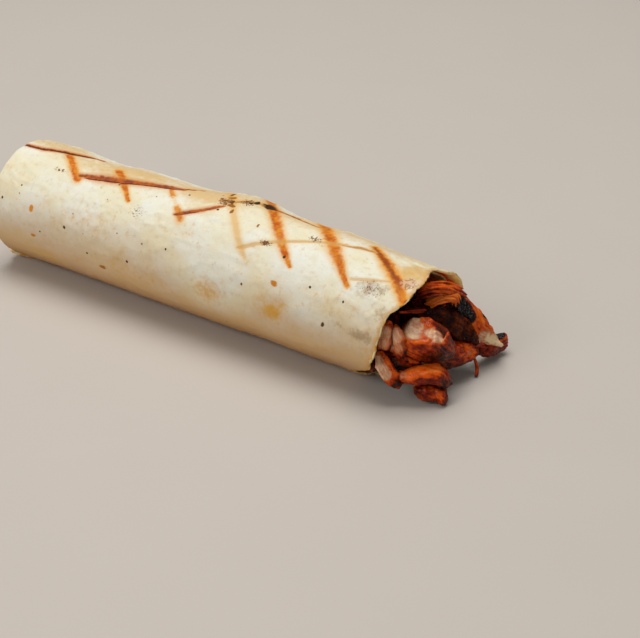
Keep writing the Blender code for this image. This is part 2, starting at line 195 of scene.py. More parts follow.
# Single flecks: station, angle, half length, half width, and whether it is dark, 1, or orange, 0
FLECKS = (
    (26, 66, 1.1, 1.7, 0), (45.5, 73, 0.7, 0.8, 0.8), (27.1, 93, 1.2, 0.8, 0.1),
    (31.6, 86, 0.5, 0.4, 1), (8.9, 65, 0.5, 0.7, 1), (58.2, 92, 0.5, 0.5, 1),
    (66.3, 102, 1.8, 1, 0.3), (80.6, 86, 0.6, 0.7, 0.9), (171.7, 53, 0.5, 0.5, 1),
    (181, 81, 0.7, 1.1, 0.75), (155, 35, 0.7, 0.8, 0.9), (155.1, 60, 1.6, 1.3, 0.1),
    (131.7, -17, 2.8, 2.7, 1), (124.6, -8.5, 1, 1, 0.9), (126.2, -14, 1.2, 1.8, 1),
    (112.8, -16, 0.9, 2.6, 0.5), (115, -9, 1.9, 1.2, 0.35), (117.2, -3, 1, 1.5, 0.7),
    (119, 3, 1.8, 1, 0.4), (121.2, 9, 0.7, 1.3, 0.45), (114.9, 12, 0.6, 0.5, 0.9),
    (96.6, 2.6, 0.45, 0.45, 0.8), (136.1, 14, 0.5, 1, 0.35), (63, 16, 0.5, 0.5, 0.8),
    (140, 70, 0.5, 0.6, 0.7), (100, 62, 0.4, 0.5, 0.9), (17, 48, 0.4, 0.4, 0.8),
    (188, 56, 0.4, 0.5, 0.9),
)

# Where the skin has risen in pale blisters: station, arc in mm, half length and half width
BLISTERED = (210.5, 10.0, 3.6, 3.2)


def smooth(value, low, high):
    """0 below low, 1 above high, and an even S between them."""
    t = min(1.0, max(0.0, (value - low) / (high - low)))
    return t * t * (3 - 2 * t)


def bell(value, middle, width):
    return math.exp(-(((value - middle) / width) ** 2))


def wrapped(angle):
    """The same angle, from -180 to 180."""
    return (angle + 180) % 360 - 180


def swell(station, angle):
    """How far the roll stands out of, or sinks below, its plain radius."""
    far_top = max(0.0, math.cos(math.radians(angle - FAR_TOP))) ** 1.5
    bulge = sum(height * bell(station, middle, long) for middle, long, height in SWELLINGS)
    bulge -= NARROWING * smooth(station, *NARROWED)
    turn = math.radians(angle)
    place = Vector((station / 26, math.sin(turn) * 1.4, math.cos(turn) * 1.4))
    return bulge * far_top + UNEVENNESS * noise.noise(place)


def free_edge_angle(station):
    """Where the sheet's outer edge lies: under the near side, and a little higher at the folded end."""
    middle, long, rise = EDGE_RISE
    return FREE_EDGE - rise * bell(station, middle, long)


def folded_end(angle):
    """The station of the folded end, which slants back on the far side."""
    middle, wide, back = END_SLANT
    return END_START + back * bell(wrapped(angle), middle, wide)


def mouth_edge(angle, wound):
    """The station of the mouth's edge at an angle. The inner layer ends further back."""
    angle = wrapped(angle)
    for (a0, s0), (a1, s1) in zip(MOUTH_EDGE, MOUTH_EDGE[1:]):
        if angle <= a1:
            t = 0.5 - 0.5 * math.cos(math.pi * (angle - a0) / (a1 - a0))
            station = s0 + (s1 - s0) * t
            break
    ragged = 0.0
    for height, long, change, seed in RAGGED:
        ragged += height * noise.noise(Vector((angle / long, wound / 360 * change, seed)))
    return station + ragged - INNER_RECESS * smooth(wound, *EDGE_FALLS)


def curled(inside, angle):
    """How far a place this far inside the rim moves outwards, and back from the rim, by the rim's curl."""
    share = sum(amount * bell(wrapped(angle), middle, width) for middle, width, amount in CURLS)
    beyond = CURL_LENGTH - inside
    if beyond <= 0 or share < 0.01:
        return 0.0, 0.0
    bend = FULL_CURL * share / CURL_LENGTH
    return (1 - math.cos(bend * beyond)) / bend, beyond - math.sin(bend * beyond) / bend


def on_roll(station, radius, angle, floor):
    turn = math.radians(angle)
    height = AXIS_HEIGHT + radius * math.cos(turn)
    return (station - LENGTH / 2, -radius * math.sin(turn), max(height, floor))


def sheet_path():
    """The sheet's rows, from the middle of the folded end, over its shoulder, to the mouth."""
    rows = [("cap", i / CAP_ROWS) for i in range(CAP_ROWS)]
    rows += [("shoulder", i / SHOULDER_ROWS) for i in range(SHOULDER_ROWS)]
    rows += [("side", i / SIDE_ROWS * (1 - RIM_SHARE)) for i in range(SIDE_ROWS)]
    rows += [("side", 1 - RIM_SHARE * (1 - i / RIM_ROWS)) for i in range(RIM_ROWS + 1)]
    return rows


def sheet_columns():
    """The degrees of winding of the sheet's columns, from its outer edge inwards."""
    columns = [0.0]
    for end, step in WINDING_STEPS:
        while columns[-1] < end - step / 2:
            columns.append(columns[-1] + step)
    return columns


def sheet_point(wound, row):
    """A point of the sheet's outer face, with its station and its angle."""
    kind, t = row
    depth = LAYER_STEP * wound / 360
    floor = LAYER_STEP * smooth(wound, *LIFTED)
    shoulder = max(END_ROUNDING - depth, TIGHTEST_BEND)
    angle = free_edge_angle(0) + wound
    end = folded_end(angle)
    if kind == "side":
        start = end + depth + shoulder
        rim = mouth_edge(free_edge_angle(LENGTH) + wound, wound)
        station = start + (rim - start) * t
        # Counted from the slanting end, so that the mesh isn't sheared there
        angle = free_edge_angle(station - end + END_START) + wound
        out, back = curled(rim - station, angle) if wound < OUTER_ENDS[0] else (0.0, 0.0)
        radius = RADIUS + swell(station, angle) - depth + out
        return on_roll(station - back, radius, angle, floor), station, angle
    corner = RADIUS + swell(end, angle) - depth - shoulder
    if kind == "shoulder":
        turn = math.radians(90 * t)
        station = end + depth + shoulder * (1 - math.cos(turn))
        return on_roll(station, corner + shoulder * math.sin(turn), angle, floor), station, angle
    radius = END_HOLE + (corner - END_HOLE) * t
    inward = 1 - radius / corner
    pleat = PLEAT * math.sin(math.radians(PLEATS * angle) + 4 * inward) * min(1.0, 2 * inward)
    dish = END_DISH * smooth(inward, 0, 0.6)
    station = end + depth + dish + pleat
    return on_roll(station, radius, angle + END_TWIST * inward, 0), station, angle


def to_arc(angle):
    """The distance in mm round the roll from the top."""
    return math.radians(angle) * RADIUS


def to_stroke(station, arc, points):
    """The distance from a place to a line of points, as a multiple of the line's half width there."""
    nearest = FAR_AWAY
    for (s0, a0, w0), (s1, a1, w1) in zip(points, points[1:]):
        ds, da = s1 - s0, to_arc(a1 - a0)
        from_s, from_a = station - s0, arc - to_arc(a0)
        t = min(1.0, max(0.0, (from_s * ds + from_a * da) / (ds * ds + da * da)))
        away = math.hypot(from_s - t * ds, from_a - t * da)
        nearest = min(nearest, away / (w0 + (w1 - w0) * t))
    return nearest


def nearest_mark(station, arc, marks):
    """The distance to the nearest mark in its half widths, and how strongly that one is browned."""
    found = (FAR_AWAY, 0.0)
    for points, strength in marks:
        away = to_stroke(station, arc, points)
        if away < found[0]:
            found = (away, strength)
    return found


def patched(station, arc, patches):
    """How strongly the soft patches cover a place."""
    total = 0.0
    for s, angle, long, wide, strength in patches:
        away = math.hypot((station - s) / long, (arc - to_arc(angle)) / wide)
        total = max(total, strength * smooth(away, 1.5, 0.2))
    return total


def relief(place, station, arc, wound, cross, scorch):
    """How far the outer face stands out at a place: soft waves, blisters, grain and pressed grill marks."""
    p = Vector(place)
    waves = WAVES * noise.noise(p / 13 + Vector((3, 1, 7)))
    crease = abs(noise.noise(Vector((station / 19 + arc / 30, arc / 5.5 - station / 40, 3))))
    wrinkles = WRINKLES * (1 - crease * 3)
    blister = BLISTERS * smooth(noise.noise(p / 3.4 + Vector((11, 5, 2))), 0.24, 0.62)
    pit = -PITS * smooth(noise.noise(p / 2.3 + Vector((1, 15, 8))), 0.35, 0.7)
    groove = -CROSS_GROOVES * cross[1] * bell(cross[0], 0, 0.9)
    groove -= LONG_GROOVES * scorch[1] * bell(scorch[0], 0, 0.9)
    bubbles = BUBBLES * patched(station, arc, SPECKLED) * noise.noise(p / 0.9)
    outer = 1 - smooth(wound, *OUTER_ENDS)
    return (waves + max(wrinkles, -0.1) + blister + pit + groove + bubbles) * outer


def sheet_thickness(place, t):
    """The sheet thins towards its torn edge, where t is 1."""
    thin = EDGE_THINNING * smooth(t, THINNING_START, 1.0)
    return SHEET - thin + THICKNESS_CHANGE * noise.noise(Vector(place) / 4)


def grid_normals(points):
    """The unit normals of a grid of points, pointing out of the roll."""
    across = np.gradient(points, axis=0)
    along = np.gradient(points, axis=1)
    normals = np.cross(across, along)
    length = np.linalg.norm(normals, axis=2, keepdims=True)
    return normals / np.maximum(length, 1e-9)


def strip_faces(a, b):
    """Four-sided faces between two rows of vertex numbers."""
    return [(a[i], a[i + 1], b[i + 1], b[i]) for i in range(len(a) - 1)]


def add_object(name, data):
    made = bpy.data.objects.new(name, data)
    bpy.context.scene.collection.objects.link(made)
    return made


def add_mesh(name, verts, faces, materials):
    mesh = bpy.data.meshes.new(name)
    mesh.from_pydata([tuple(v) for v in verts], [], faces)
    mesh.shade_smooth()
    for look in materials:
        mesh.materials.append(look)
    return add_object(name, mesh)


def store(mesh, name, values):
    """Keeps a value of three numbers at each vertex, for the materials."""
    layer = mesh.attributes.new(name, "FLOAT_VECTOR", "POINT")
    layer.data.foreach_set("vector", np.asarray(values, np.float32).ravel())


def edge_ways(points):
    """At each point of the grid's border, the direction that leads off the sheet."""
    ways = np.zeros_like(points)
    ways[:, -1] += points[:, -1] - points[:, -2]
    ways[:, 0] += points[:, 0] - points[:, 1]
    ways[0] += points[0] - points[1]
    ways[-1] += points[-1] - points[-2]
    return ways / np.maximum(np.linalg.norm(ways, axis=2, keepdims=True), 1e-9)


def sheet_grid():
    """The sheet's outer and inner face as grids of points, and what the materials need to know at each."""
    rows = sheet_path()
    columns = sheet_columns()
    shape = (len(columns), len(rows))
    base = np.zeros((*shape, 3))
    facts = {name: np.zeros((*shape, 3)) for name in ("roll", "marks", "burn", "stains_and_shade_lift")}
    out = np.zeros(shape)
    thick = np.zeros(shape)
    for i, wound in enumerate(columns):
        edge = mouth_edge(free_edge_angle(LENGTH) + wound, wound)
        for j, row in enumerate(rows):
            place, station, angle = sheet_point(wound, row)
            arc = to_arc(angle - 360)
            marked = row[0] != "cap"
            cross = nearest_mark(station, arc, CROSS_MARKS if marked else ())
            scorch = nearest_mark(station, arc, LONG_MARKS if marked else ())
            base[i, j] = place
            facts["roll"][i, j] = (station, arc, edge - station)
            facts["marks"][i, j] = (cross[0], scorch[0], patched(station, arc, TOASTED))
            facts["burn"][i, j] = (cross[1], scorch[1], patched(station, arc, SPECKLED))
            stains = (patched(station, arc, patches) for patches in (YELLOWED, GREYED, SHADE_LIFTED_PATCHES))
            facts["stains_and_shade_lift"][i, j] = tuple(stains)
            out[i, j] = relief(place, station, arc, wound, cross, scorch)
            thick[i, j] = sheet_thickness(place, row[1] if row[0] == "side" else 0)
    normals = grid_normals(base)
    outer = base + normals * out[..., None]
    outer[..., 2] = np.maximum(outer[..., 2], 0.0)
    inner = base - normals * thick[..., None]
    return outer, inner, edge_ways(base), facts


def make_flatbread(materials):
    """The wound sheet, with an outer face, an inner face and rounded edges all round."""
    outer, inner, ways, facts = sheet_grid()
    shape = outer.shape[:2]
    count = shape[0] * shape[1]
    number = np.arange(count).reshape(shape)
    faces = []
    for near, far in zip(number, number[1:]):
        faces += strip_faces(far.tolist(), near.tolist())
    for near, far in zip(number, number[1:]):
        faces += strip_faces((near + count).tolist(), (far + count).tolist())
    sides = len(faces)
    ring = np.concatenate([number[:, -1], number[-1, -2::-1], number[-2::-1, 0], number[0, 1:-1]])
    outer, inner, ways = (grid.reshape(-1, 3) for grid in (outer, inner, ways))
    verts = [outer, inner]
    span = inner[ring] - outer[ring]
    bulge = EDGE_BULGE * np.linalg.norm(span, axis=1, keepdims=True) * ways[ring]
    before = ring.tolist()
    for k in range(1, EDGE_ROWS):
        turn = math.pi * k / EDGE_ROWS
        verts.append(outer[ring] + span * (1 - math.cos(turn)) / 2 + bulge * math.sin(turn))
        start = 2 * count + (k - 1) * len(ring)
        after = list(range(start, start + len(ring)))
        faces += strip_faces(before + before[:1], after + after[:1])
        before = after
    after = (ring + count).tolist()
    faces += strip_faces(before + before[:1], after + after[:1])
    bread = add_mesh("flatbread_roll", np.concatenate(verts) * MM, faces, materials)
    kinds = np.zeros(len(faces), np.int32)
    kinds[sides // 2 : sides] = 1
    kinds[sides:] = 2
    bread.data.polygons.foreach_set("material_index", kinds)
    for name, grid in facts.items():
        flat = grid.reshape(-1, 3)
        store(bread.data, name, np.concatenate([flat, flat] + [flat[ring]] * (EDGE_ROWS - 1)))
    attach(bread, "root")
    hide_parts("flatbread")


def srgb(red, green, blue):
    """A colour from 0 to 255 as it is seen, as the linear colour that a shader takes."""
    linear = []
    for value in (red, green, blue):
        c = value / 255
        linear.append(c / 12.92 if c <= 0.04045 else ((c + 0.055) / 1.055) ** 2.4)
    return (*linear, 1.0)


class Look:
    """A material in the making. Each method adds nodes and gives the socket that they put out."""

    def __init__(self, name):
        self.material = bpy.data.materials.new(name)
        self.material.use_nodes = True
        self.tree = self.material.node_tree
        self.shader = self.tree.nodes["Principled BSDF"]
        self.place = self.add("TexCoord")["Object"]
        self.colour = None
        self.uneven = 0.0

    def plug(self, socket, value):
        if isinstance(value, bpy.types.NodeSocket):
            self.tree.links.new(value, socket)
        else:
            socket.default_value = value

    def add(self, kind, inputs=None, **settings):
        """Adds a node with these settings, plugs in its inputs by name or number, and gives its outputs."""
        node = self.tree.nodes.new("ShaderNode" + kind)
        for name, value in settings.items():
            setattr(node, name, value)
        for key, value in (inputs or {}).items():
            self.plug(node.inputs[key], value)
        return node.outputs

    def set(self, name, value):
        self.plug(self.shader.inputs[name], value)

    def stored(self, name):
        """The three numbers that the mesh keeps under this name."""
        return self.add("SeparateXYZ", {0: self.add("Attribute", attribute_name=name)["Vector"]})

    def vector(self, x, y, z):
        return self.add("CombineXYZ", {0: x, 1: y, 2: z})[0]

    def noise(self, size, detail=2.0, roughness=0.5, distortion=0.0, place=None):
        """Clouds of this size in mm, or in the units of the place given, from 0 to 1."""
        inputs = {"Vector": place or self.place, "Scale": 1 / size if place else 1 / (size * MM)}
        inputs.update({"Detail": detail, "Roughness": roughness, "Distortion": distortion})
        return self.add("TexNoise", inputs)[0]

    def cells(self, size):
        """The distance to the middle of the nearest of scattered cells, and a random value for each."""
        cells = self.add("TexVoronoi", {"Vector": self.place, "Scale": 1 / (size * MM)})
        return cells["Distance"], self.add("SeparateColor", {0: cells["Color"]})[0]

    def math(self, operation, a, b=0.0):
        return self.add("Math", {0: a, 1: b}, operation=operation)[0]

    def plus(self, a, b):
        return self.math("ADD", a, b)

    def times(self, a, b):
        return self.math("MULTIPLY", a, b)

    def centred(self, clouds, amount):
        """Clouds from 0 to 1, moved to lie evenly round 0 and scaled."""
        return self.times(self.math("SUBTRACT", clouds, 0.5), amount)

    def frayed(self, distance, amount):
        """A distance to an edge, made uneven by this much."""
        return self.plus(distance, self.times(self.uneven, amount))

    def step(self, value, low, high):
        """0 where the value is below low, 1 above high, and smooth between."""
        inputs = {"Value": value, "From Min": low, "From Max": high}
        return self.add("MapRange", inputs, interpolation_type="SMOOTHSTEP")["Result"]

    def between(self, factor, low, high):
        """low where the factor is 0, high where it is 1."""
        return self.add("MapRange", {"Value": factor, "To Min": low, "To Max": high})["Result"]

    def ellipse(self, place, middle, size):
        """1 inside an uneven ellipse round a middle, in the place's first two axes, and 0 outside it."""
        inputs = {"Vector": place, "Location": (*middle, 0), "Scale": (*size, 1)}
        moved = self.add("Mapping", inputs, vector_type="TEXTURE")[0]
        away = self.add("VectorMath", {0: moved}, operation="LENGTH")["Value"]
        return self.step(self.frayed(away, 1.5), 1.25, 0.8)

    def mix(self, factor, a, b):
        return self.add("Mix", {0: factor, 6: a, 7: b}, data_type="RGBA")[2]

    def paint(self, colour, cover, amount=1.0):
        """Lays a colour over what is there, as far as the cover and the amount say."""
        cover = cover if amount == 1.0 else self.times(cover, amount)
        self.colour = self.mix(cover, self.colour, colour)

    def bump(self, height, strength, distance):
        """Tilts the surface by a height from 0 to 1 that stands for this many mm."""
        inputs = {"Strength": strength, "Distance": distance * MM, "Height": height}
        return self.add("Bump", inputs)[0]


def bread_skin(look, normal):
    """What all of the bread has: its painted colour, its relief, its softness and its shine."""
    look.set("Base Color", look.colour)
    look.set("Normal", normal)
    look.set("Subsurface Weight", 0.05)
    look.set("Subsurface Radius", (0.004, 0.0025, 0.0012))
    look.set("Subsurface Scale", 0.5)
    look.set("Specular IOR Level", 0.14)


# The colours of the dough, its toasted and stained patches, and its flecks. The golden and the brown low on
# the sides and underneath are partly painted shade
DOUGH_WHITE = srgb(235, 235, 222)
DOUGH_CREAM = srgb(234, 227, 198)
DOUGH_BRIGHT = srgb(246, 246, 234)
DOUGH_TAN = srgb(226, 208, 164)
DOUGH_SPOT = srgb(210, 178, 122)
GOLDEN_AND_SHADE = srgb(200, 150, 80)
UNDERSIDE_TOAST_AND_SHADE = srgb(160, 100, 48)
TOAST = srgb(216, 174, 98)
YELLOW = srgb(216, 158, 44)
GREY = srgb(158, 124, 84)
SOAKED = srgb(208, 150, 70)
BLISTER = srgb(216, 176, 142)
BLISTER_LINE = srgb(132, 70, 38)
SCRIBBLE = srgb(112, 64, 30)
SPECK = srgb(140, 92, 50)
DARK_FLECK = (62, 38, 16)
ORANGE_FLECK = (218, 140, 40)

# The colours of the grill marks across, and of the scorched lines along
CROSS_BORDER = srgb(230, 170, 72)
CROSS_BROWN = srgb(192, 92, 14)
CROSS_ORANGE = srgb(224, 138, 36)
CROSS_FAINT = srgb(220, 172, 92)
CROSS_CHAR = srgb(112, 44, 20)
LINE_BORDER = srgb(208, 128, 52)
LINE_FAINT_BORDER = srgb(230, 194, 126)
LINE_BROWN = srgb(182, 92, 32)
LINE_DARK = srgb(136, 62, 40)
LINE_FAINT = srgb(204, 150, 72)
LINE_CHAR = srgb(88, 36, 16)

# The colours of the inner face and of the torn edge. Those of the inner face are made brighter than the
# shaded inside would show them: painted light
INNER_CREAM = srgb(255, 224, 164)
INNER_TAN = srgb(254, 198, 118)
INNER_ORANGE = srgb(252, 128, 44)
INNER_RED = srgb(226, 84, 24)
CRUMB_CREAM = srgb(240, 222, 172)
CRUMB_TAN = srgb(214, 158, 78)


def paint_dough(look, cloud, patch):
    """Pale dough, more golden low on both sides, and browner underneath: partly toasted colour, partly
    painted shade.
    """
    arc = look.stored("roll")[1]
    shade_lifted = look.stored("stains_and_shade_lift")[2]
    look.colour = look.mix(look.step(look.noise(22, 3), 0.38, 0.66), DOUGH_WHITE, DOUGH_CREAM)
    look.paint(DOUGH_TAN, look.step(cloud, 0.5, 0.78), 0.4)
    look.paint(DOUGH_SPOT, look.step(patch, 0.56, 0.8), 0.16)
    look.paint(DOUGH_BRIGHT, look.step(cloud, 0.42, 0.2), 0.5)
    # Painted shade as well as toast: golden low on both sides, less so in the lifted patches, and browner
    # where the roll turns under
    down = look.math("ABSOLUTE", look.plus(arc, 8.0))
    low = look.step(look.plus(down, look.centred(cloud, 9)), 24, 66)
    look.paint(GOLDEN_AND_SHADE, look.times(low, look.between(shade_lifted, 0.74, 0.2)))
    look.paint(UNDERSIDE_TOAST_AND_SHADE, look.step(look.math("ABSOLUTE", arc), 50, 68), 0.55)


def paint_stains(look):
    """Toasted, yellow and grey patches, and the soaked dough along the torn edge."""
    rim = look.stored("roll")[2]
    toasted = look.stored("marks")[2]
    yellow, grey, _ = look.stored("stains_and_shade_lift")
    look.paint(TOAST, look.step(look.frayed(toasted, 1.3), -0.1, 1.2), 0.75)
    look.paint(YELLOW, look.step(look.frayed(yellow, 1.6), 0.0, 1.4), 0.9)
    look.paint(GREY, look.step(look.frayed(grey, 2), 0.15, 1.1), 0.6)
    look.paint(SOAKED, look.step(look.frayed(rim, 4), 2.4, 0.2), 0.7)


def paint_cross_marks(look, patch):
    """Grill marks across, each with a soft golden border, and a dark line down the most burnt one."""
    arc = look.stored("roll")[1]
    heat = look.stored("burn")[0]
    away = look.frayed(look.stored("marks")[0], 1.5)
    look.paint(CROSS_BORDER, look.times(look.step(away, 2.6, 0.7), look.times(heat, 0.75)))
    brown = look.mix(look.step(patch, 0.35, 0.65), CROSS_BROWN, CROSS_ORANGE)
    brown = look.mix(look.step(heat, 0.85, 0.5), brown, CROSS_FAINT)
    look.paint(brown, look.times(look.step(away, 1.4, 0.4), look.step(heat, 0.1, 0.85)))
    dark = look.times(look.step(away, 0.75, 0.1), look.step(heat, 0.95, 1.15))
    dark = look.times(dark, look.step(arc, 19, 8))
    look.paint(CROSS_CHAR, look.times(dark, look.between(patch, 0.4, 1.0)))


def paint_long_marks(look, patch):
    """Scorched lines along the roll, dark where they are strong and tan where they are weak."""
    scorch = look.stored("marks")[1]
    heat = look.stored("burn")[1]
    strong = look.step(heat, 0.45, 0.85)
    away = look.frayed(scorch, 1.5)
    border = look.mix(strong, LINE_FAINT_BORDER, LINE_BORDER)
    look.paint(border, look.times(look.step(away, 3.0, 0.8), look.times(heat, 0.85)))
    core = look.mix(look.step(patch, 0.38, 0.6), LINE_BROWN, LINE_DARK)
    core = look.mix(strong, LINE_FAINT, core)
    look.paint(core, look.times(look.step(away, 1.5, 0.5), look.step(heat, -0.15, 0.8)))
    charred = look.times(look.step(heat, 0.82, 0.95), look.between(patch, 0.75, 1.0))
    away = look.frayed(scorch, 0.6)
    look.paint(LINE_CHAR, look.times(look.step(away, 1.0, 0.4), charred))


def paint_char(look):
    """Scribbly char in the speckled patches, and a few specks everywhere."""
    speckled = look.stored("burn")[2]
    char = look.plus(look.noise(0.8, 3, 0.65, 0.8), look.times(speckled, 0.3))
    char = look.times(look.step(char, 0.72, 0.84), look.step(speckled, 0.05, 0.35))
    look.paint(SCRIBBLE, char, 0.95)
    spot, chance = look.cells(1.25)
    char = look.step(look.plus(spot, look.uneven), 0.4, 0.2)
    look.paint(SPECK, look.times(char, look.math("LESS_THAN", chance, 0.002)), 0.85)


def paint_flecks(look):
    """Pale blisters in the toasted skin by the mouth, and single flecks from orange to dark."""
    station, arc, _ = look.stored("roll")
    flat = look.vector(station, arc, 0.0)
    risen = look.ellipse(flat, BLISTERED[:2], BLISTERED[2:])
    bubble = look.noise(1.9, 2)
    look.paint(BLISTER, look.times(look.step(bubble, 0.42, 0.5), risen), 0.75)
    line = look.step(look.math("ABSOLUTE", look.math("SUBTRACT", bubble, 0.42)), 0.08, 0.02)
    look.paint(BLISTER_LINE, look.times(line, risen), 0.65)
    for s, angle, long, wide, darkness in FLECKS:
        tint = (dark + (bright - dark) * (1 - darkness) for dark, bright in zip(DARK_FLECK, ORANGE_FLECK))
        look.paint(srgb(*tint), look.ellipse(flat, (s, to_arc(angle)), (long, wide)))


def bread_look():
    """The outer face: pale baked dough with browned marks, toasted and stained patches, and flecks."""
    look = Look("flatbread_outside")
    cloud = look.noise(8, 4, 0.6)
    patch = look.noise(3.2, 3, 0.6)
    look.uneven = look.math("SUBTRACT", look.noise(2.4, 4, 0.6), 0.5)
    paint_dough(look, cloud, patch)
    paint_stains(look)
    paint_cross_marks(look, patch)
    paint_long_marks(look, patch)
    paint_char(look)
    paint_flecks(look)
    look.set("Roughness", look.between(cloud, 0.42, 0.66))
    height = look.plus(look.times(look.noise(1.3, 4, 0.6), 0.7), look.times(look.noise(0.5, 2), 0.3))
    bread_skin(look, look.bump(height, 0.4, 0.35))
    return look.material


def bread_inside_look():
    """The inner face, pale yellow at its edge and soaked orange-brown by the filling behind it, in colours
    lifted as painted light for the shade inside the roll.
    """
    look = Look("flatbread_inside")
    rim = look.stored("roll")[2]
    cloud = look.noise(4, 4)
    look.colour = look.mix(look.step(cloud, 0.35, 0.7), INNER_CREAM, INNER_TAN)
    depth = look.plus(rim, look.centred(cloud, 5))
    look.paint(INNER_ORANGE, look.step(depth, 2.2, 5))
    look.paint(INNER_RED, look.step(depth, 8, 20))
    look.set("Roughness", look.between(cloud, 0.35, 0.55))
    bread_skin(look, look.bump(look.noise(1.2, 3), 0.6, 0.4))
    look.set("Subsurface Weight", 0.8)
    look.set("Subsurface Scale", 0.6)
    return look.material


def bread_edge_look():
    """The torn edge: creamy crumb with toasted and soaked spots."""
    look = Look("flatbread_edge")
    grain = look.noise(0.9, 3)
    look.colour = look.mix(look.step(look.noise(3.2, 3), 0.4, 0.62), CRUMB_CREAM, CRUMB_TAN)
    look.set("Roughness", look.between(grain, 0.5, 0.7))
    bread_skin(look, look.bump(grain, 0.6, 0.4))
    return look.material


def from_end(place):
    """A place given as station, y and z, in the shared frame, in mm."""
    station, y, z = place
    return Vector((station - LENGTH / 2, y, z))


def placed(spots):
    """Spots given as station, y, z, size and amount, with their middles in the shared frame."""
    return [(from_end(spot[:3]), *spot[3:]) for spot in spots]


class Meat:
    """One piece of chicken and its looks.

    The spine is the line that its fibres follow: station, y and z. tone is how bright its seasoned skin is,
    from 0, deep red-brown, to 1, bright orange, and char is how much of it is burnt. The spots, each a
    middle, a size in mm and an amount, are where it is a pale cut face, is charred, or has another tone.
    The tone carries painted light and shade too: some pieces have it set high or low for the light that
    falls on them, and make_meat raises it where the skin faces up and lowers it where it turns under.
    voxel is how fine its mesh is, and rounds is how often that is smoothed. A piece of strands has cords in
    place of the plain solid, each with its place across and above the spine, its half width, and where it
    starts and ends along the spine. Each tear is a small torn tip: its foot, its point and its half width.
    """

    tone = 0.3
    char = -0.1
    voxel = 0.4
    rounds = 16
    fibres = 0.32
    fibre_width = 1.6
    crags = 0.3
    wet = True
    pale_spots = ()
    char_spots = ()
    tone_spots = ()
    cords = ()
    tears = ()

    def __init__(self, node, slot, spine, **form):
        self.node = node
        self.slot = slot
        self.spine = spine
        for name, value in form.items():
            setattr(self, name, placed(value) if name.endswith("_spots") else value)


# The side of the pieces that the photograph shows, by which their fibres are laid
FACING = (0.41, -0.73, 0.54)

# Painted light and shade: the skin's tone is raised on the side that faces this way and lowered where it
# turns under
LIT_SIDE = (0.1, -0.35, 0.93)
LIT_SHARE = 0.6
LIT_LEVEL = 0.45

